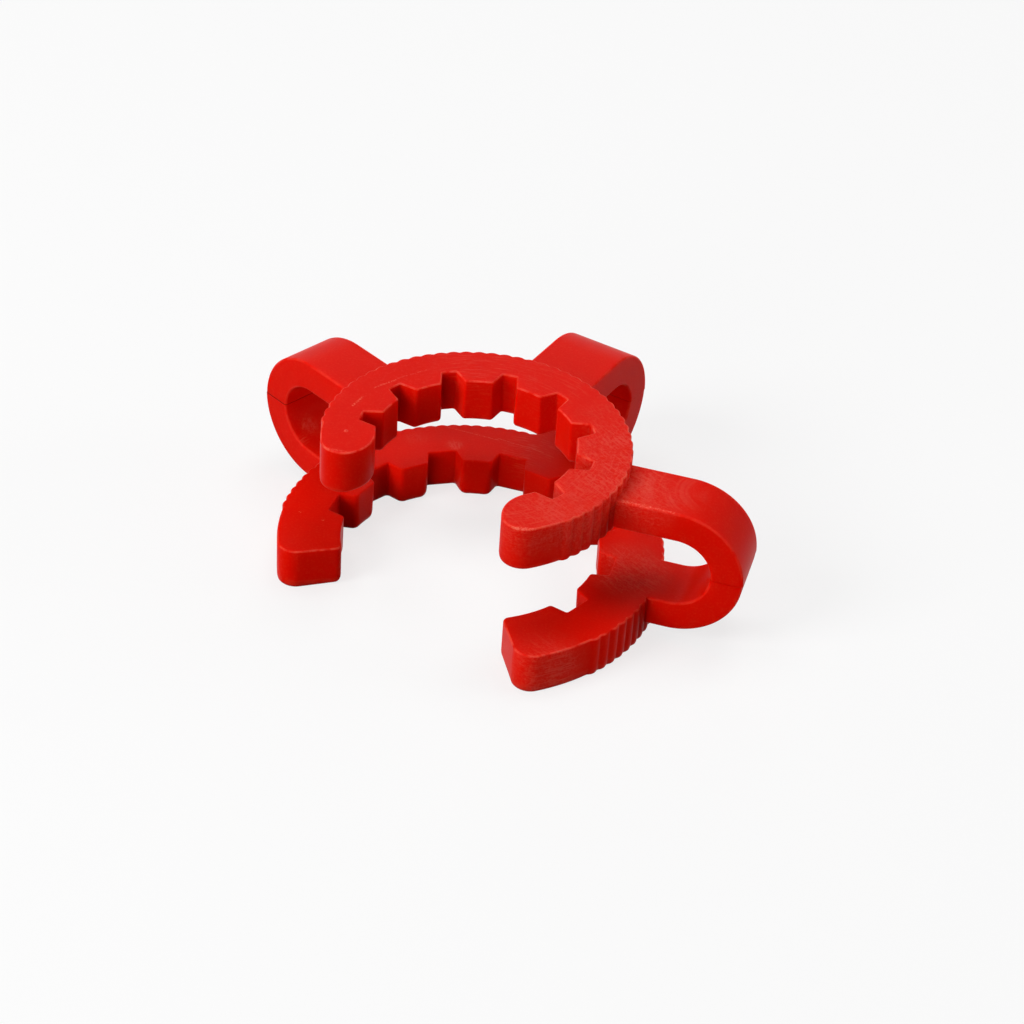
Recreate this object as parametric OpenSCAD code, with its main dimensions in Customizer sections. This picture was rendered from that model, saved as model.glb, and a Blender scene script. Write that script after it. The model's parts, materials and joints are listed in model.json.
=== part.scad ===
// Clip for a ground glass joint, size 19: one moulding of springy plastic.
// A small toothed C ring snaps round the neck of the cone, a large one round
// the rim of the socket, and three upright loops hold the two rings apart.
// Origin: on the axis of the rings, at the underside of the large ring.
// +Z is up to the small ring, and the mouth of both rings opens to -Y.

/* [Small ring] */
// Diameter that the teeth close on, round the neck of the cone
small_grip_d = 17.65; // [16.5:0.05:18.5]
// Outside diameter of the plain wall
small_outer_d = 27; // [26:0.05:28.5]
// Height of the ring
small_h = 4.2; // [3:0.1:5]
// Angle from one tooth to the next
small_tooth_a = 30.4; // [28:0.1:31]
// Width of a tooth at its tip
small_tooth_w = 2.55; // [2:0.05:3]
// Width of a tooth at its root
small_root_w = 4.3; // [3.6:0.05:4.5]
// Depth of the notches between the teeth
small_notch = 1.65; // [1:0.05:2]
// Angle from the middle of the last notch to the middle of the end's nose
small_nose_a = 14.8; // [14:0.1:19]
// Radius of the nose at the ring's ends, on which the clip spreads
small_nose_r = 3.3; // [2.4:0.05:3.6]
// How far the nose stands inside the teeth
small_nose_in = 0.08; // [0:0.01:0.1]
// Radius of the outer corner at the ring's ends
small_end_r = 1.95; // [1:0.05:2.2]
// Angle from one grip rib to the next
small_rib_a = 5.14; // [4:0.02:8]
// How far round from the back the grip ribs go, to each side
small_rib_reach_a = 113.5; // [60:0.5:114]

/* [Large ring] */
// Diameter that the teeth close on, round the rim of the socket
large_grip_d = 23.1; // [22.5:0.05:24.5]
// Outside diameter of the plain wall
large_outer_d = 34.4; // [33:0.05:36]
// Height of the ring
large_h = 4; // [3:0.05:5]
// Angle from one tooth to the next
large_tooth_a = 29.3; // [28:0.1:31]
// Width of a tooth at its tip
large_tooth_w = 2.65; // [2:0.05:3.5]
// Width of a tooth at its root
large_root_w = 4.1; // [3.7:0.05:5]
// Depth of the notches between the teeth
large_notch = 1.6; // [1:0.05:2]
// Angle from the middle of the last notch to the flat face of the end
large_end_a = 31.6; // [22:0.2:34]
// Radius of the outer corner at the ring's ends
large_end_r = 1.7; // [1:0.05:2.4]
// Angle from one grip rib to the next
large_rib_a = 3.76; // [3:0.02:6]
// How far round from the back the grip ribs go, to each side
large_rib_reach_a = 110; // [60:0.5:115]

/* [Both rings] */
// Height of the clip, from the large ring's underside to the small ring's top
clip_h = 14.75; // [13:0.05:17]
// Number of whole teeth in each ring
tooth_count = 7; // [5:2:7]
// Height of the grip ribs above the plain wall
rib_h = 0.2; // [0.1:0.02:0.4]
// Radius of a grip rib's round crest
rib_r = 0.9; // [0.8:0.05:1.2]

/* [Loops] */
// Reach of the back loop from the axis of the rings
back_reach = 25.4; // [22:0.05:30]
// Reach of the side loops from the axis of the rings
side_reach = 25.2; // [22:0.05:30]
// Width of the back loop at the mould's parting line
back_loop_w = 6.85; // [5:0.05:8]
// Width of the side loops at the mould's parting line
side_loop_w = 5.8; // [4:0.05:7]
// Angle from the back loop to each side loop
side_loop_a = 75; // [60:1:90]
// Thickness of the band that a loop is bent from
loop_t = 2.87; // [2:0.01:3.2]
// Step from the small ring's underside up to the upper arm of a loop
loop_step = 0.16; // [0:0.01:0.5]
// Draft of a loop's side faces, away from the parting line
loop_draft_a = 0.5; // [0:0.25:3]

/* [Hidden] */
$fn = 96;
plastic = [0.85, 0.08, 0.06];
gap_h = clip_h - large_h - small_h;
small_z = clip_h - small_h;
hole_r = (gap_h + loop_step) / 2;
loop_r = hole_r + loop_t;
loop_z = large_h + hole_r;

// The point at radius r and at angle a, counted from the back towards +X
function at(r, a) = [r * sin(a), r * cos(a)];

// The middle of a ring's wall, between its notches and its outer face
function wall_r(outer_d, grip_d, notch) = (outer_d + grip_d) / 4 + notch / 2;

// Half the angle that a width w takes at radius r
function half_a(w, r) = asin(w / 2 / r);

// Angle from the back to the middle of the last notch
function last_notch_a(tooth_a) = tooth_count / 2 * tooth_a;

// Copies the children to the other side of the plane x = 0 as well
module both_sides() {
    children();
    mirror([1, 0]) children();
}

// The part of the plane from the back round to angle a, out past radius r
module sector(r, a) {
    far = 2 * r;
    both_sides() polygon([[0, 0], at(far, 0), at(far, 45), at(far, 90), at(far, a)]);
}

// A disc whose rim has grip ribs, from one side round the back to the other
module ribbed_disc(outer_r, rib_a, reach_a) {
    last = floor(reach_a / rib_a);
    circle(outer_r);
    for (i = [-last:last])
        translate(at(outer_r + rib_h - rib_r, i * rib_a)) circle(rib_r, $fn = 32);
}

// The notches between the teeth, narrower at the floor than at the mouth.
// Their sides run on past the mouth, into the bore.
module notches(grip_r, depth, tooth_a, tooth_w, root_w) {
    floor_r = grip_r + depth;
    mouth = tooth_a / 2 - half_a(tooth_w, grip_r);
    base = tooth_a / 2 - half_a(root_w, floor_r);
    for (i = [0:tooth_count]) {
        a = last_notch_a(tooth_a) - i * tooth_a;
        left = at(grip_r, a - mouth) - at(floor_r, a - base);
        right = at(grip_r, a + mouth) - at(floor_r, a + base);
        polygon([
            at(floor_r, a - base) + 2 * left, at(floor_r, a - base),
            at(floor_r, a + base), at(floor_r, a + base) + 2 * right
        ]);
    }
}

// Outline of the small ring. Each end is a round nose that runs into the
// round outer corner, so the joint's neck can push the ring open.
module small_outline() {
    grip_r = small_grip_d / 2;
    outer_r = small_outer_d / 2;
    end_r = min(small_end_r, (outer_r - grip_r) / 2);
    nose_at = grip_r - small_nose_in + small_nose_r;
    end_at = outer_r - end_r;
    nose_a = last_notch_a(small_tooth_a) + small_nose_a;
    apart = small_nose_r - end_r;
    turn_a = acos((nose_at ^ 2 + end_at ^ 2 - apart ^ 2) / (2 * nose_at * end_at));
    nose = at(nose_at, nose_a);
    end = at(end_at, nose_a + turn_a);
    towards = end - nose;
    difference() {
        union() {
            difference() {
                intersection() {
                    ribbed_disc(outer_r, small_rib_a, small_rib_reach_a);
                    sector(outer_r, nose_a + turn_a);
                }
                circle(grip_r);
            }
            both_sides() {
                translate(end) circle(end_r);
                intersection() {
                    translate(nose) circle(small_nose_r);
                    translate(nose) rotate(atan2(towards.y, towards.x) + 180)
                        translate([-outer_r, 0]) square([2 * outer_r, outer_r]);
                }
            }
        }
        notches(grip_r, small_notch, small_tooth_a, small_tooth_w, small_root_w);
    }
}

// Outline of the large ring. Each end has a flat face and a round outer corner.
module large_outline() {
    grip_r = large_grip_d / 2;
    outer_r = large_outer_d / 2;
    corner_at = outer_r - large_end_r;
    end_a = last_notch_a(large_tooth_a) + large_end_a;
    corner_a = end_a - asin(large_end_r / corner_at);
    corner = at(corner_at, corner_a);
    difference() {
        union() {
            intersection() {
                ribbed_disc(outer_r, large_rib_a, large_rib_reach_a);
                sector(outer_r, corner_a);
            }
            both_sides() {
                translate(corner) circle(large_end_r);
                polygon([[0, 0], corner, at(corner_at * cos(end_a - corner_a), end_a)]);
            }
        }
        circle(grip_r);
        notches(grip_r, large_notch, large_tooth_a, large_tooth_w, large_root_w);
    }
}

// Side view of a loop, x out from the axis and y up: a band bent round a hole,
// with a straight arm into the wall of each ring
module loop_side(reach) {
    loop_x = reach - loop_r;
    small_wall = wall_r(small_outer_d, small_grip_d, small_notch);
    large_wall = wall_r(large_outer_d, large_grip_d, large_notch);
    difference() {
        union() {
            translate([loop_x, loop_z]) circle(loop_r);
            translate([small_wall, loop_z]) square([loop_x - small_wall, loop_r]);
            translate([large_wall, loop_z - loop_r]) square([loop_x - large_wall, loop_r]);
        }
        translate([loop_x, loop_z]) circle(hole_r);
        translate([0, loop_z - hole_r]) square([loop_x, 2 * hole_r]);
    }
}

// Section across a loop, x across and y up: widest at the parting line
module loop_section(w) {
    thinner = loop_r * tan(loop_draft_a);
    polygon([
        [-w / 2, loop_z], [-w / 2 + thinner, loop_z + loop_r],
        [w / 2 - thinner, loop_z + loop_r], [w / 2, loop_z],
        [w / 2 - thinner, loop_z - loop_r], [-w / 2 + thinner, loop_z - loop_r]
    ]);
}

// One loop, turned by angle a from the back towards -X
module loop(w, reach, a) {
    rotate([0, 0, 90 + a]) intersection() {
        rotate([90, 0, 0]) linear_extrude(w, center = true) loop_side(reach);
        rotate([90, 0, 90]) linear_extrude(reach) loop_section(w);
    }
}

module clip() {
    color(plastic) {
        translate([0, 0, small_z]) linear_extrude(small_h) small_outline();
        linear_extrude(large_h) large_outline();
        loop(back_loop_w, back_reach, 0);
        for (side = [-1, 1]) loop(side_loop_w, side_reach, side * side_loop_a);
    }
}

clip();
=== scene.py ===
import json
import math

import bmesh
import bpy
from mathutils import Matrix, Vector


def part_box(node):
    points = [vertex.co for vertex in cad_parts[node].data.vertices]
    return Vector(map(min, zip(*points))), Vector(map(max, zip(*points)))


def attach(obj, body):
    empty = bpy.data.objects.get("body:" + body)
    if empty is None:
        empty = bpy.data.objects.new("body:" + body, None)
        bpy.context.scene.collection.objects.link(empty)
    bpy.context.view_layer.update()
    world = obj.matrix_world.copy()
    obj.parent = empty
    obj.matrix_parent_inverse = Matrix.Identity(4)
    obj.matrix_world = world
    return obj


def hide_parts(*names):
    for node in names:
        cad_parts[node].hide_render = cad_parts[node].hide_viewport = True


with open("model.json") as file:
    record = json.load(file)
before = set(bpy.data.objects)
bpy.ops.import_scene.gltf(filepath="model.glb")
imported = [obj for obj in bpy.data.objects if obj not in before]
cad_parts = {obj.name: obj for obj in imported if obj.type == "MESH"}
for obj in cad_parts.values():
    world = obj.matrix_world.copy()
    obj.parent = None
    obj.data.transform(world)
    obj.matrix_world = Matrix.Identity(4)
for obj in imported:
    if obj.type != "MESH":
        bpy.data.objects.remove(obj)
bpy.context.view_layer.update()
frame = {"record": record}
MM = 0.001
dims = {m["name"]: m["dims"] for m in frame["record"]["mounts"] if "dims" in m}
far_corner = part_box("clip")[1] / MM

# ---------------------------------------------------------------- sizes, in mm
CLIP_H = far_corner.z
SMALL_H = dims["small_ring"]["length_mm"]
LARGE_H = dims["large_ring"]["length_mm"]
TOOTH_COUNT = 7
RIB_H = 0.2
RIB_R = 0.9
RIB_STEPS = 10     # of the outline, from one rib to the next
RIB_KNEE = 0.4     # where a rib's crest turns into the valley, as a share of the pitch

# Pairs are at the ring's underside and at its top, but for the foot, which is
# how far its rounding goes in, and how far up.
SMALL = dict(grip_r=dims["small_ring"]["r_mm"], outer_r=13.5, pitch=30.4, tooth_w=(2.65, 2.43),
             root_w=(4.42, 4.2), notch=1.65, rib_a=5.14, rib_reach=113.5,
             tip_r=(0.42, 0.22), foot=(0.22, 0.35))
NOSE_A, NOSE_R, NOSE_IN, NOSE_END_R = 14.8, 3.3, 0.08, 1.95  # the small ring's ends
LARGE = dict(grip_r=dims["large_ring"]["r_mm"], outer_r=17.2, pitch=29.3, tooth_w=(2.65, 2.65),
             root_w=(4.1, 4.1), notch=1.6, rib_a=3.76, rib_reach=110.0,
             tip_r=(0.85, 0.36), foot=(0.36, 0.75))
END_A, END_R, HOOK_R = 31.6, 1.7, 0.6  # the large ring's ends

BACK_W, SIDE_W, SIDE_A = 6.85, 5.8, 75.0
LOOP_T, LOOP_STEP, DRAFT_A = 2.87, 0.16, 0.5
HOLE_R = (CLIP_H - LARGE_H - SMALL_H + LOOP_STEP) / 2
LOOP_R = HOLE_R + LOOP_T
LOOP_Z = LARGE_H + HOLE_R
MISMATCH = (-0.07, 0.05)         # of the lower mould half, along X and Y
OVERLAP = 0.01                   # of the loops' halves at the parting line
GROOVE_W, GROOVE_D = 0.06, 0.09  # half width and depth of the fine groove along it
BACK_REACH = far_corner.y
SIDE_REACH = ((far_corner.x - SIDE_W / 2 * math.cos(math.radians(SIDE_A)))
              / math.sin(math.radians(SIDE_A)))

EDGE_R = 0.14      # rounding of the rings' upper edges
OUTER_FOOT = 0.35  # how far in the foot goes on a ring's outer side, as a share
LOOP_EDGE_R = 0.2  # rounding of the loops' edges
ROOT_R = 0.18      # rounding in the corners of a notch
SHARP_A = 38       # edges that turn by more stay sharp

GATE_AT = (11.3, -120.6)  # radius and angle of the gate's dot on the small ring
GATE_R, GATE_H = 0.2, 0.07

# What the mesh's faces are marked with: how strong a painted highlight an edge gets, or
# painted shade in a groove.
RING_HIGHLIGHT, FOOT_HIGHLIGHT, LOOP_HIGHLIGHT, SHADED_GROOVE = 1, 0.2, 0.3, -1

# ------------------------------------------------------------ colours and light
DEEP = (0.68, 0.0032, 0.0002, 1)
BRIGHT = (0.76, 0.0048, 0.0004, 1)
PALE = (0.9, 0.2, 0.13, 1)      # where the plastic is rubbed or frosted, and for painted highlights and reflections
DARK = (0.2, 0.002, 0.0008, 1)  # painted shade in the grooves

FLOOR_GREY, FLOOR_WHITE = 0.18, 0.9  # to the light that bounces, and to the camera
SHADOW_SHARE = 0.25                  # of the floor's look that is lit, the rest is white
SKY_DIM, SKY_WHITE = 0.02, 1.0
LAMP_FAR, LAMP_SIZE = 0.6, 0.3       # metres
LAMPS = (  # name, azimuth and elevation in degrees, watts
    ("key", -30, 35, 2.15), ("front", 5, 12, 1.22), ("left", -90, 65, 0.7),
    ("right", 125, 12, 1.25), ("top", 180, 70, 1.0), ("back", -150, 20, 0.32))
VIEW_A, VIEW_E, VIEW_ROLL = 29.08, 36.955, 4.15  # degrees
VIEW_D, VIEW_LENS = 0.22768, 90.78               # metres, and millimetres of lens
VIEW_AIM = (3.478, 1.064, CLIP_H - 7.11)         # the place in the middle of the picture


# ------------------------------------------------------------ outlines, in mm
def at(r, a):
    """The point at radius r and angle a, in degrees from the back towards +X."""
    return Vector((r * math.sin(math.radians(a)), r * math.cos(math.radians(a))))


def half_a(w, r):
    """Half the angle that a width w takes at radius r."""
    return math.degrees(math.asin(w / 2 / r))


def arc(centre, r, start, end, count):
    """count + 1 points on a circle, from the heading start to the heading end, as
    (point, rounding) pairs."""
    turns = [start + (end - start) * i / count for i in range(count + 1)]
    return [(centre + r * Vector((math.cos(t), math.sin(t))), 0) for t in turns]


def heading(v):
    return math.atan2(v.y, v.x)


def along(r, a0, a1, step):
    """(point, rounding) pairs along the circle of radius r about the rings' axis."""
    count = max(1, round(abs(a1 - a0) / step))
    return [(at(r, a0 + (a1 - a0) * i / count), 0) for i in range(count + 1)]


def toothed(s, level):
    """The inner side of a ring's right half at level 0, its underside, or 1, its top:
    (point, rounding) pairs from the middle of the back tooth to the far side of the
    last notch, and the angle there."""
    grip_r, floor_r, tip_r = s["grip_r"], s["grip_r"] + s["notch"], s["tip_r"][level]
    mouth = s["pitch"] / 2 - half_a(s["tooth_w"][level], grip_r)
    base = s["pitch"] / 2 - half_a(s["root_w"][level], floor_r)
    out, begin = [], 0
    for i in range((TOOTH_COUNT + 1) // 2):
        a = (i + 0.5) * s["pitch"]
        tip = along(grip_r, begin, a - mouth, 4)
        out += tip[bool(i):-1]
        out += [(at(grip_r, a - mouth), tip_r), (at(floor_r, a - base), ROOT_R),
                (at(floor_r, a + base), ROOT_R), (at(grip_r, a + mouth), tip_r)]
        begin = a + mouth
    return out, begin


def ribbed(s, end):
    """The outer side of a ring's right half, from the angle end to the back."""
    outer_r, pitch = s["outer_r"], s["rib_a"]
    last = int(s["rib_reach"] / pitch)
    centre_r = outer_r + RIB_H - RIB_R
    leave = math.degrees(math.acos((outer_r ** 2 + centre_r ** 2 - RIB_R ** 2)
                                   / (2 * outer_r * centre_r)))

    def crest(a):
        """How far out the rib reaches, at angle a from its middle."""
        across = centre_r * math.sin(math.radians(a))
        return centre_r * math.cos(math.radians(a)) + math.sqrt(RIB_R ** 2 - across ** 2)

    def wave(a):
        """The crest, run softly into the valley beside it."""
        knee = RIB_KNEE * pitch
        rest = pitch / 2 - knee
        if abs(a) <= knee:
            return crest(a)
        slope = (crest(knee) - crest(knee - 0.01)) / 0.01
        t = (abs(a) - knee) / rest
        return crest(knee) + slope * rest * (t - t * t / 2)

    out = along(outer_r, end, last * pitch + leave, 2.5)[:-1]
    for k in range(3):
        off = leave * (1 - k / 3)
        out.append((at(crest(off), last * pitch + off), 0))
    for i in range(last, 0, -1):
        for k in range(RIB_STEPS):
            off = pitch * k / RIB_STEPS
            near = off if off <= pitch / 2 else off - pitch
            out.append((at(wave(near), i * pitch - off), 0))
    out.append((at(crest(0), 0), 0))
    return out


def rounded(points, count=5):
    """Turns each (point, rounding) into an arc of count + 1 points, or leaves it."""
    out = []
    for i, (p, r) in enumerate(points):
        if not r:
            out.append(p.copy())
            continue
        before, after = points[i - 1][0], points[(i + 1) % len(points)][0]
        u, v = (before - p).normalized(), (after - p).normalized()
        half = u.angle(v) / 2
        centre = p + (u + v).normalized() * (r / math.sin(half))
        reach = r / math.tan(half)
        a0, a1 = heading(p + u * reach - centre), heading(p + v * reach - centre)
        turn = (a1 - a0 + math.pi) % (2 * math.pi) - math.pi
        turns = [a0 + turn * k / count for k in range(count + 1)]
        out += [centre + r * Vector((math.cos(t), math.sin(t))) for t in turns]
    return out


def mirrored(p):
    return Vector((-p.x, p.y))


def whole(half):
    """Closes the right half's outline, from inside to outside, with its mirror image."""
    before, after = (mirrored(half[1][0]), 0), (mirrored(half[-2][0]), 0)
    right = rounded([before] + half + [after])[1:-1]
    return right + [mirrored(p) for p in reversed(right[1:-1])]


def small_outline(level):
    """The small ring: round noses at the ends, which run into round outer corners."""
    s = SMALL
    half, begin = toothed(s, level)
    nose_at = s["grip_r"] - NOSE_IN + NOSE_R
    end_at = s["outer_r"] - NOSE_END_R
    nose_a = TOOTH_COUNT / 2 * s["pitch"] + NOSE_A
    apart = NOSE_R - NOSE_END_R
    turn = math.degrees(math.acos((nose_at ** 2 + end_at ** 2 - apart ** 2)
                                  / (2 * nose_at * end_at)))
    nose, end = at(nose_at, nose_a), at(end_at, nose_a + turn)
    meet = math.degrees(math.acos((s["grip_r"] ** 2 + nose_at ** 2 - NOSE_R ** 2)
                                  / (2 * s["grip_r"] * nose_at)))
    half += along(s["grip_r"], begin, nose_a - meet, 2)[1:]
    first = heading(at(s["grip_r"], nose_a - meet) - nose) % (2 * math.pi)
    touch = heading(end - nose) % (2 * math.pi)
    half += arc(nose, NOSE_R, first, touch, 34)[1:]
    half += arc(end, NOSE_END_R, touch, heading(end) % (2 * math.pi), 12)[1:]
    half += ribbed(s, nose_a + turn)[1:]
    return whole(half)


def large_outline(level):
    """The large ring: flat faces at the ends, with a round outer corner."""
    s = LARGE
    half, begin = toothed(s, level)
    corner_at = s["outer_r"] - END_R
    end_a = TOOTH_COUNT / 2 * s["pitch"] + END_A
    corner_a = end_a - math.degrees(math.asin(END_R / corner_at))
    corner = at(corner_at, corner_a)
    foot = at(corner_at * math.cos(math.radians(end_a - corner_a)), end_a)
    half += along(s["grip_r"], begin, end_a, 4)[1:-1] + [(at(s["grip_r"], end_a), HOOK_R)]
    half += arc(corner, END_R, heading(foot - corner) % (2 * math.pi),
                heading(corner) % (2 * math.pi), 24)
    half += ribbed(s, corner_a)[1:]
    return whole(half)


# ------------------------------------------------------------------ mesh making
def inset(points, depths):
    """Moves each point of a counter-clockwise outline inwards, square to its sides."""
    out = []
    n = len(points)
    for i, (p, d) in enumerate(zip(points, depths)):
        u = (p - points[i - 1]).normalized()
        v = (points[(i + 1) % n] - p).normalized()
        mid = (Vector((-u.y, u.x)) + Vector((-v.y, v.x))).normalized()
        out.append(p + mid * (d / max(0.35, mid.dot(Vector((-u.y, u.x))))))
    return out


def edge_levels(r, high=None, count=4):
    """(inset, distance below the face) pairs of a quarter round that goes r in and
    high down, from the face."""
    turns = [math.pi / 2 * k / count for k in range(count + 1)]
    return [(r * (1 - math.sin(t)), (high or r) * (1 - math.cos(t))) for t in turns]


def skin(name, loops, worn, groove=False):
    """A closed mesh through loops of points, capped at both ends. Its third argument says how
    strong a painted highlight the strip after each loop gets. With groove, each loop's last
    two points lie in a groove beside its first point and the third last, and its sides are
    marked for painted shade."""
    bm = bmesh.new()
    painted_light_layer = bm.faces.layers.float.new("worn")
    rows = [[bm.verts.new(Vector(p) * MM) for p in loop] for loop in loops]
    n = len(rows[0])
    for a, b, level in zip(rows, rows[1:], worn):
        for i in range(n):
            j = (i + 1) % n
            groove_shade = groove and i in (n - 3, n - 1)
            bm.faces.new((a[i], a[j], b[j], b[i]))[painted_light_layer] = SHADED_GROOVE if groove_shade else level
    for row in (rows[0], rows[-1]):
        if groove:
            bm.faces.new((row[-3], row[-2], row[-1], row[0]))[painted_light_layer] = SHADED_GROOVE
        bm.faces.new(row[:-2] if groove else row)
    bmesh.ops.recalc_face_normals(bm, faces=bm.faces)
    mesh = bpy.data.meshes.new(name)
    bm.to_mesh(mesh)
    bm.free()
    obj = bpy.data.objects.new(name, mesh)
    bpy.context.scene.collection.objects.link(obj)
    return obj


def ring(name, s, bottom, top, z0, z1):
    """A ring whose outline goes from bottom, at height z0, to top, at z1, with rounded
    edges and a softer foot, most of all on its inner side."""
    middle = (s["grip_r"] + s["outer_r"]) / 2
    rise = [(d, z0 + z, OUTER_FOOT) for d, z in edge_levels(*s["foot"])]
    rise += [(d, z1 - z, 1) for d, z in reversed(edge_levels(EDGE_R))]
    loops = []
    for d, z, share in rise:
        t = (z - z0) / (z1 - z0)
        outline = [p.lerp(q, t) for p, q in zip(bottom, top)]
        # 0 on the inner side and 1 on the outer side, over 1 mm in the middle of the wall
        outer = [min(1, max(0, p.length - middle + 0.5)) for p in outline]
        depths = [d * (1 - o + o * share) for o in outer]
        loops.append([(p.x, p.y, z) for p in inset(outline, depths)])
    strips = len(loops) // 2 - 1
    return skin(name, loops, [FOOT_HIGHLIGHT] * strips + [0] + [RING_HIGHLIGHT] * strips)


def half_loop(name, reach, w, angle, hand):
    """The upper (hand 1) or lower (hand -1) half of a band bent round a hole, with
    its arm into the wall of a ring. The halves meet at the mould's parting line,
    and the lower one is out of line by the mould's mismatch."""
    x = reach - LOOP_R
    s = SMALL if hand > 0 else LARGE
    wall = (s["outer_r"] + s["grip_r"] + s["notch"]) / 2
    side = math.pi / 2
    outline = [p for p, _ in arc(Vector((x, 0)), LOOP_R, GROOVE_W / LOOP_R, side, 40)]
    outline += [Vector((wall, LOOP_R)), Vector((wall, HOLE_R))]
    outline += [p for p, _ in arc(Vector((x, 0)), HOLE_R, side, GROOVE_W / HOLE_R, 30)]
    slope = math.tan(math.radians(DRAFT_A))
    turn = Matrix.Rotation(math.radians(90 + angle), 3, "Z")
    shift = Vector((0, 0, 0)) if hand > 0 else Vector((*MISMATCH, 0))
    loops = []
    levels = edge_levels(LOOP_EDGE_R)
    for face, steps in ((-1, levels), (1, list(reversed(levels)))):
        for d, depth in steps:
            moved = inset(outline, [d] * len(outline))
            moved[0] = Vector((outline[0].x - d, outline[0].y))
            moved[-1] = Vector((outline[-1].x + d, outline[-1].y))
            row = [(q, w / 2 - p.y * slope - depth) for p, q in zip(outline, moved)]
            last, first = row[-1], row[0]
            row.append((Vector((last[0].x + GROOVE_D, -OVERLAP)), last[1] - GROOVE_D))
            row.append((Vector((first[0].x - GROOVE_D, -OVERLAP)), first[1] - GROOVE_D))
            loops.append([turn @ Vector((q.x, -face * half, LOOP_Z + hand * q.y)) + shift
                          for q, half in row])
    strips = len(levels) - 1
    return skin(name, loops, [LOOP_HIGHLIGHT] * strips + [0] + [LOOP_HIGHLIGHT] * strips, groove=True)


def pip(name, place, z, r, high):
    """A round dot on a face at height z: high above it, and as deep into it."""
    rise = [(r, -high)]
    rise += [(r - d, high - depth) for d, depth in reversed(edge_levels(r * 0.6, high))]
    loops = []
    for radius, above in rise:
        loops.append([(*(place + at(radius, -15 * k)), z + above) for k in range(24)])
    return skin(name, loops, [RING_HIGHLIGHT] * len(rise))


def united(name, solids):
    """One closed mesh from several that overlap."""
    body = solids[0]
    for other in solids[1:]:
        cut = body.modifiers.new("join", "BOOLEAN")
        cut.operation, cut.solver, cut.object = "UNION", "EXACT", other
    graph = bpy.context.evaluated_depsgraph_get()
    mesh = bpy.data.meshes.new_from_object(body.evaluated_get(graph))
    mesh.name = name
    for o in solids:
        bpy.data.objects.remove(o)
    obj = bpy.data.objects.new(name, mesh)
    bpy.context.scene.collection.objects.link(obj)
    return obj


solids = [
    ring("small", SMALL, small_outline(0), small_outline(1), CLIP_H - SMALL_H, CLIP_H),
    ring("large", LARGE, large_outline(0), large_outline(1), 0, LARGE_H),
]
for name, reach, w, angle in (
        ("back", BACK_REACH, BACK_W, 0), ("left", SIDE_REACH, SIDE_W, SIDE_A),
        ("right", SIDE_REACH, SIDE_W, -SIDE_A)):
    solids += [half_loop(name + "_upper", reach, w, angle, 1),
               half_loop(name + "_lower", reach, w, angle, -1)]
solids.append(pip("gate", at(*GATE_AT), CLIP_H, GATE_R, GATE_H))
clip = united("clip_body", solids)
for face in clip.data.polygons:
    face.use_smooth = True
clip.data.set_sharp_from_angle(angle=math.radians(SHARP_A))
weighted = clip.modifiers.new("even shading", "WEIGHTED_NORMAL")
weighted.keep_sharp = True
weighted.weight = 100

# --------------------------------------------------------------------- material
mat = bpy.data.materials.new("red_plastic")
mat.use_nodes = True
nodes, links = mat.node_tree.nodes, mat.node_tree.links


def node(kind, *inputs, out=0, **settings):
    """Adds a shader node, its inputs set or linked in order; returns one output."""
    made = nodes.new("ShaderNode" + kind)
    for key, value in settings.items():
        setattr(made, key, value)
    for socket, value in zip(made.inputs, inputs):
        if isinstance(value, bpy.types.NodeSocket):
            links.new(value, socket)
        elif value is not None:
            socket.default_value = value
    return made.outputs[out]


def calc(operation, *inputs):
    """A Math node's result."""
    return node("Math", *inputs, operation=operation)


def fade(value, start, end):
    """0 at start and 1 at end, with soft ends, whichever of them is larger."""
    return node("MapRange", value, start, end, 0.0, 1.0, interpolation_type="SMOOTHSTEP")


def noise(place, scale, detail=2.0, roughness=0.5):
    return node("TexNoise", place, None, scale, detail, roughness)


def blend(factor, a, b):
    """The colour a where factor is 0, and b where it is 1."""
    return node("Mix", factor, None, None, None, None, None, a, b, data_type="RGBA", out=2)


def total(parts):
    out = parts[0]
    for part in parts[1:]:
        out = calc("ADD", out, part)
    return out


def turned(centre):
    """(distance from an upright axis, distance round it, height), in mm, so that a
    noise stretched along the second runs in arcs about the axis."""
    off = node("VectorMath", PLACE, (*centre, 0.0), operation="SUBTRACT")
    flat = node("VectorMath", off, (1.0, 1.0, 0.0), operation="MULTIPLY")
    r = node("VectorMath", flat, operation="LENGTH", out=1)
    x, y, z = (node("SeparateXYZ", off, out=i) for i in range(3))
    return r, calc("MULTIPLY", calc("ARCTAN2", x, y), r), z


def streaks(centre, fine, stretch):
    """Noise in arcs: fine across them and stretched along them."""
    r, run, z = turned(centre)
    return noise(node("CombineXYZ", calc("MULTIPLY", r, fine), calc("MULTIPLY", run, stretch),
                      calc("MULTIPLY", z, fine)), 1.0, 2.0)


def patch(x, y, z, radius, amount=1.0, soft=0.6):
    """amount at a place, down to nothing at radius from it."""
    far = node("VectorMath", PLACE, (x, y, z), operation="DISTANCE", out=1)
    return calc("MULTIPLY", fade(far, radius, radius * (1 - soft)), amount)


def scratch(a, b, width, amount=1.0):
    """amount along the straight line from a to b."""
    a, b = Vector(a), Vector(b)
    off = node("VectorMath", PLACE, tuple(a), operation="SUBTRACT")
    step = tuple((b - a) / (b - a).length_squared)
    t = node("VectorMath", off, step, operation="DOT_PRODUCT", out=1)
    t = node("Clamp", t, 0.0, 1.0)
    foot = node("VectorMath", tuple(b - a), None, None, t, operation="SCALE")
    far = node("VectorMath", off, foot, operation="DISTANCE", out=1)
    return calc("MULTIPLY", fade(far, width, width * 0.3), amount)


# The object's own coordinates, in mm.
PLACE = node("VectorMath", node("TexCoord", out=3), None, None, 1 / MM, operation="SCALE")
GRAIN = noise(PLACE, 4.5, 4.0, 0.65)
BLOTCH = noise(PLACE, 0.9, 3.0, 0.6)
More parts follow.
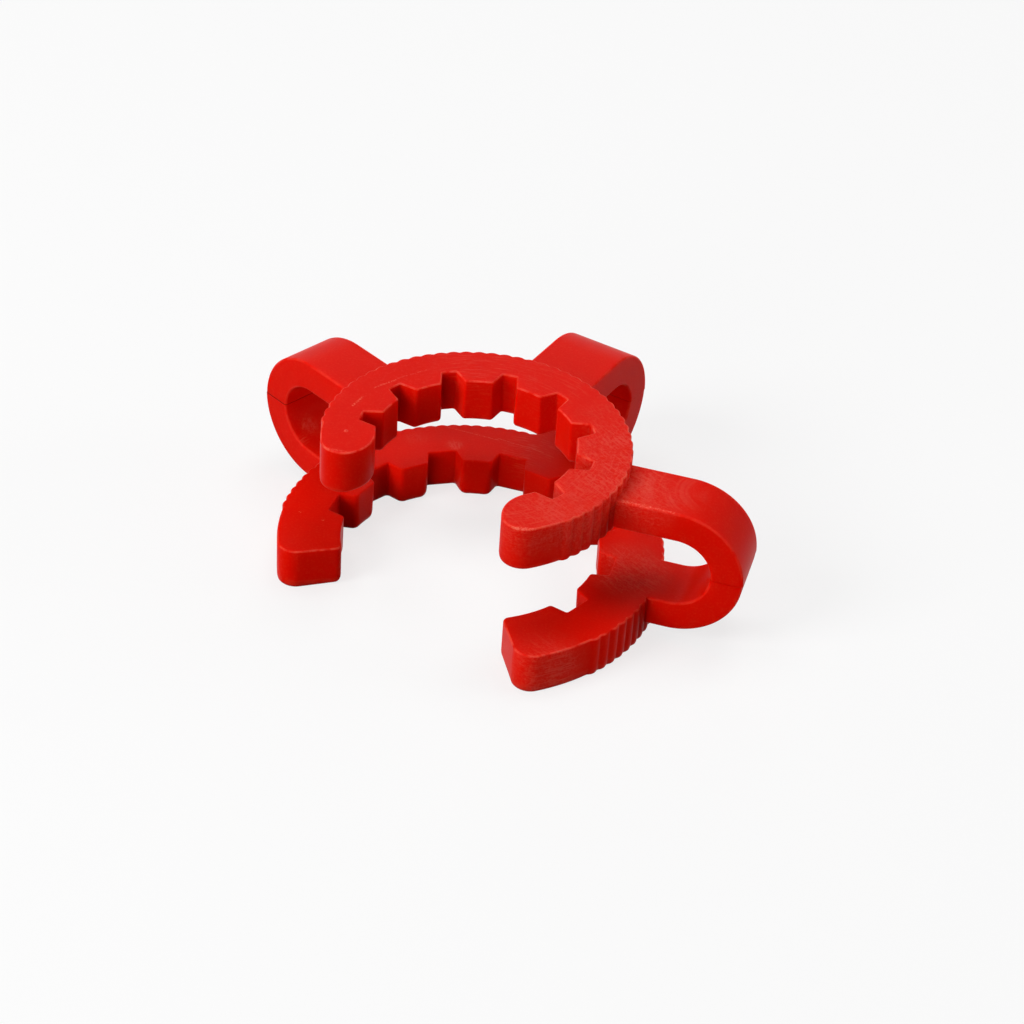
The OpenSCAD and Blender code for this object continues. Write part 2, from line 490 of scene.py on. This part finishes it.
# Mottled, with fine strokes that are nearly straight, as they run about a place far off.
FROST = total([calc("MULTIPLY", fade(noise(PLACE, 2.7, 5.0, 0.7), 0.42, 0.68), 0.5),
               calc("MULTIPLY", fade(noise(PLACE, 5.5, 3.0, 0.65), 0.44, 0.66), 0.4),
               calc("MULTIPLY", fade(streaks((28, 40), 4.2, 0.7), 0.49, 0.68), 0.6)])
ARCS = fade(streaks((0, 0), 7.0, 0.6), 0.5, 0.68)
SMALL_TOP, LARGE_TOP, LOOP_TOP = CLIP_H, LARGE_H, LOOP_Z + LOOP_R

# Rubbed places: a thin frosted film, and a painted reflection in the left loop's hole.
rubs_and_reflection = total([
    patch(11.2, 4.5, SMALL_TOP, 6.0, 1.0), patch(11.6, -2.5, SMALL_TOP, 5.5, 1.0),
    patch(9.6, -7.5, SMALL_TOP, 4.5, 0.6), patch(8.5, 9.5, SMALL_TOP, 4.5, 0.5),
    patch(13.9, 4.2, LARGE_TOP, 4.5, 1.4), patch(-8.7, 11.0, LARGE_TOP, 1.0, 1.4),
    patch(-12.2, 9.9, LARGE_TOP, 1.4, 0.4), patch(15.5, 3.0, LOOP_TOP, 4.0, 0.8),
    patch(14.2, -9.8, 1.8, 4.5, 0.8), patch(12.8, -4.5, SMALL_TOP - 2.0, 3.5, 0.3),
    # Painted reflection on the lower surface of the left loop's hole.
    patch(-20.8, 4.6, 4.9, 1.3, 0.9),
])
# Pale streaks round the rings, left by the mould and by handling, and a painted reflection in
# the left loop's hole.
streaks_and_reflection = total([
    patch(-6.5, 10.5, SMALL_TOP, 5.5, 0.5), patch(1.5, 12.0, SMALL_TOP, 5.0, 0.4),
    patch(11.8, 0.5, SMALL_TOP, 7.0, 0.4), patch(-2.5, 14.6, LARGE_TOP, 3.5, 0.7),
    patch(10.0, -7.0, SMALL_TOP, 4.0, 0.5), patch(14.4, -9.4, 1.6, 3.0, 1.2),
    # Painted reflection on the lower surface of the left loop's hole.
    patch(-20.3, 3.2, 4.3, 0.8, 0.8),
])
# Small bright marks: painted highlights along the top edges of the right nose and the right
# loop, scuffs, scratches, specks and the gate's dot, broken up by a noise.
scuffs_and_highlights = total([
    # Painted highlight along the right nose's front top edge.
    scratch((9.2, -9.05, SMALL_TOP), (10.9, -8.1, SMALL_TOP), 0.26, 0.8),
    # Painted highlights along the right loop's near top edge.
    scratch((14.2, 1.06, LOOP_TOP), (16.4, 1.65, LOOP_TOP), 0.27, 0.6),
    scratch((16.4, 1.65, LOOP_TOP), (18.6, 2.2, LOOP_TOP), 0.16, 0.5),
    scratch((-11.0, 13.0, LARGE_TOP), (-5.8, 14.1, LARGE_TOP), 0.12, 0.35),
    scratch((-5.9, 14.3, LARGE_TOP), (-1.4, 14.9, LARGE_TOP), 0.12, 0.35),
    scratch((-11.45, -2.2, SMALL_TOP), (-11.5, -0.6, SMALL_TOP), 0.16, 0.6),
    scratch((-11.5, 1.2, SMALL_TOP), (-10.6, 3.4, SMALL_TOP), 0.14, 0.5),
    scratch((-10.6, 3.7, SMALL_TOP), (-9.3, 6.3, SMALL_TOP), 0.12, 0.25),
    scratch((-10.0, -8.9, SMALL_TOP), (-7.5, -8.2, SMALL_TOP), 0.2, 0.3),
    patch(-9.73, -5.75, SMALL_TOP, 0.22, 0.8), patch(-14.36, -5.94, LARGE_TOP, 0.18, 0.7),
    patch(-12.01, -5.7, LARGE_TOP, 0.18, 0.7),
])
scuffs_and_highlights = calc("MULTIPLY", scuffs_and_highlights, fade(noise(PLACE, 6.5, 2.0, 0.6), 0.42, 0.6))
# Painted highlights on the edges, where the mesh says so, but not on those of the large
# ring's teeth, and painted shade in the grooves, darkest on the left.
X, Y, Z = (node("SeparateXYZ", PLACE, out=i) for i in range(3))
mark = node("Attribute", out=2, attribute_name="worn")
outside = calc("MAXIMUM", fade(turned((0, 0))[0], 13.4, 14.6),
               calc("MAXIMUM", fade(Z, 4.5, 6.0), fade(Y, -6.5, -8.5)))
worn = calc("MULTIPLY", node("Clamp", mark, 0.0, 1.0),
            calc("MULTIPLY", outside, fade(BLOTCH, 0.35, 0.6)))
# Painted shade in the grooves, darker towards the left.
groove_shade = calc("MULTIPLY", node("Clamp", mark, -1.0, 0.0), -1.0)
groove_shade = calc("MULTIPLY", groove_shade, fade(X, 12.0, -12.0))
pale = total([calc("MULTIPLY", fade(GRAIN, 0.48, 0.7), 0.24),
              calc("MULTIPLY", rubs_and_reflection, FROST), calc("MULTIPLY", streaks_and_reflection, ARCS)])
pale = node("Clamp", pale, 0.0, 1.0)
# Flow lines on top of the right loop, in arcs about a place near its end.
flow = fade(streaks((20.2, 6.6), 2.4, 0.18), 0.42, 0.62)
flow = calc("MULTIPLY", flow, patch(16.9, 4.9, LOOP_TOP, 4.0))

tone = total([calc("MULTIPLY", calc("SUBTRACT", GRAIN, 0.5), 0.5),
              calc("MULTIPLY", calc("SUBTRACT", BLOTCH, 0.5), 0.5), 0.5])
colour = blend(tone, DEEP, BRIGHT)
colour = blend(calc("MULTIPLY", flow, 0.1), colour, PALE)
# Painted highlights on the edges.
colour = blend(calc("MULTIPLY", worn, 0.3), colour, PALE)
# Frost, streaks and grain, with a painted reflection in the left loop's hole.
colour = blend(calc("MULTIPLY", pale, 0.22), colour, PALE)
# Painted highlights on two top edges, with scratches, specks and the gate's dot.
colour = blend(calc("MULTIPLY", scuffs_and_highlights, 0.8), colour, PALE)
# Painted shade in the grooves.
colour = blend(calc("MULTIPLY", groove_shade, 0.9), colour, DARK)
rough = total([calc("MULTIPLY", GRAIN, 0.12), calc("MULTIPLY", pale, 0.2), 0.28])
height = total([calc("MULTIPLY", GRAIN, 0.6), calc("MULTIPLY", flow, 0.3),
                calc("MULTIPLY", pale, 0.5)])
relief = nodes.new("ShaderNodeBump")
relief.inputs["Strength"].default_value = 0.5
relief.inputs["Distance"].default_value = 0.02 * MM
links.new(height, relief.inputs["Height"])

shader = nodes["Principled BSDF"]
links.new(colour, shader.inputs["Base Color"])
links.new(rough, shader.inputs["Roughness"])
links.new(relief.outputs["Normal"], shader.inputs["Normal"])
shader.inputs["Specular IOR Level"].default_value = 0.02
shader.inputs["Specular Tint"].default_value = (1, 0.82, 0.5, 1)
shader.inputs["Subsurface Weight"].default_value = 1.0
shader.inputs["Subsurface Radius"].default_value = (1, 0.1, 0.05)
shader.inputs["Subsurface Scale"].default_value = 1.2 * MM
clip.data.materials.clear()
clip.data.materials.append(mat)

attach(clip, "root")
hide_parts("clip")

# ------------------------------------------------------- floor, light and camera
def looked_at(tree):
    """1 where a camera, glossy or transmitted ray arrives, 0 for light that bounces."""
    path = tree.nodes.new("ShaderNodeLightPath")
    seen = path.outputs["Is Camera Ray"]
    for ray in ("Is Glossy Ray", "Is Transmission Ray"):
        either = tree.nodes.new("ShaderNodeMath")
        either.operation = "MAXIMUM"
        tree.links.new(seen, either.inputs[0])
        tree.links.new(path.outputs[ray], either.inputs[1])
        seen = either.outputs[0]
    return seen


def ground():
    """A pale ground: white with a little of the shadow to the camera and in gloss,
    and a plain grey to the light that bounces off it."""
    m = bpy.data.materials.new("floor")
    m.use_nodes = True
    tree = m.node_tree
    join = tree.links.new
    grey = tree.nodes["Principled BSDF"]
    pale = tree.nodes.new("ShaderNodeBsdfPrincipled")
    for base, level in ((grey, FLOOR_GREY), (pale, FLOOR_WHITE)):
        base.inputs["Base Color"].default_value = (level, level, level, 1)
        base.inputs["Roughness"].default_value = 0.9
        base.inputs["Specular IOR Level"].default_value = 0.1
    white = tree.nodes.new("ShaderNodeEmission")
    look = tree.nodes.new("ShaderNodeMixShader")
    look.inputs[0].default_value = SHADOW_SHARE
    join(white.outputs[0], look.inputs[1])
    join(pale.outputs[0], look.inputs[2])
    mix = tree.nodes.new("ShaderNodeMixShader")
    join(looked_at(tree), mix.inputs[0])
    join(grey.outputs[0], mix.inputs[1])
    join(look.outputs[0], mix.inputs[2])
    join(mix.outputs[0], tree.nodes["Material Output"].inputs["Surface"])
    return m


bpy.ops.mesh.primitive_plane_add(size=3)
floor = bpy.context.object
floor.name = "floor"
floor.data.materials.append(ground())

world = bpy.data.worlds.new("studio")
bpy.context.scene.world = world
world.use_nodes = True
sky = world.node_tree
dim, white = sky.nodes["Background"], sky.nodes.new("ShaderNodeBackground")
for shade, strength in ((dim, SKY_DIM), (white, SKY_WHITE)):
    shade.inputs["Color"].default_value = (1, 1, 1, 1)
    shade.inputs["Strength"].default_value = strength
mix = sky.nodes.new("ShaderNodeMixShader")
sky.links.new(looked_at(sky), mix.inputs[0])
sky.links.new(dim.outputs[0], mix.inputs[1])
sky.links.new(white.outputs[0], mix.inputs[2])
sky.links.new(mix.outputs[0], sky.nodes["World Output"].inputs["Surface"])


def towards(azimuth, elevation):
    """The direction to an azimuth, counted from -Y towards +X, and an elevation."""
    a, e = math.radians(azimuth), math.radians(elevation)
    return Vector((math.sin(a) * math.cos(e), -math.cos(a) * math.cos(e), math.sin(e)))


for name, azimuth, elevation, power in LAMPS:
    away = towards(azimuth, elevation)
    data = bpy.data.lights.new(name, "AREA")
    data.shape, data.size, data.energy = "DISK", LAMP_SIZE, power
    obj = bpy.data.objects.new(name, data)
    obj.location = away * LAMP_FAR
    obj.rotation_mode = "QUATERNION"
    obj.rotation_quaternion = (-away).to_track_quat("-Z", "Y")
    bpy.context.scene.collection.objects.link(obj)

away = towards(VIEW_A, VIEW_E)
level = towards(VIEW_A + 90, 0)
upright = away.cross(level)
roll = math.radians(VIEW_ROLL)
right = level * math.cos(roll) + upright * math.sin(roll)
up = upright * math.cos(roll) - level * math.sin(roll)
cam_data = bpy.data.cameras.new("camera")
cam_data.sensor_width, cam_data.lens = 36, VIEW_LENS
cam_data.clip_start, cam_data.clip_end = 0.01, 10
camera = bpy.data.objects.new("camera", cam_data)
bpy.context.scene.collection.objects.link(camera)
turn = Matrix((right, up, away)).transposed().to_4x4()
camera.matrix_world = Matrix.Translation(Vector(VIEW_AIM) * MM + away * VIEW_D) @ turn
bpy.context.scene.camera = camera
bpy.context.scene.view_settings.view_transform = "Standard"
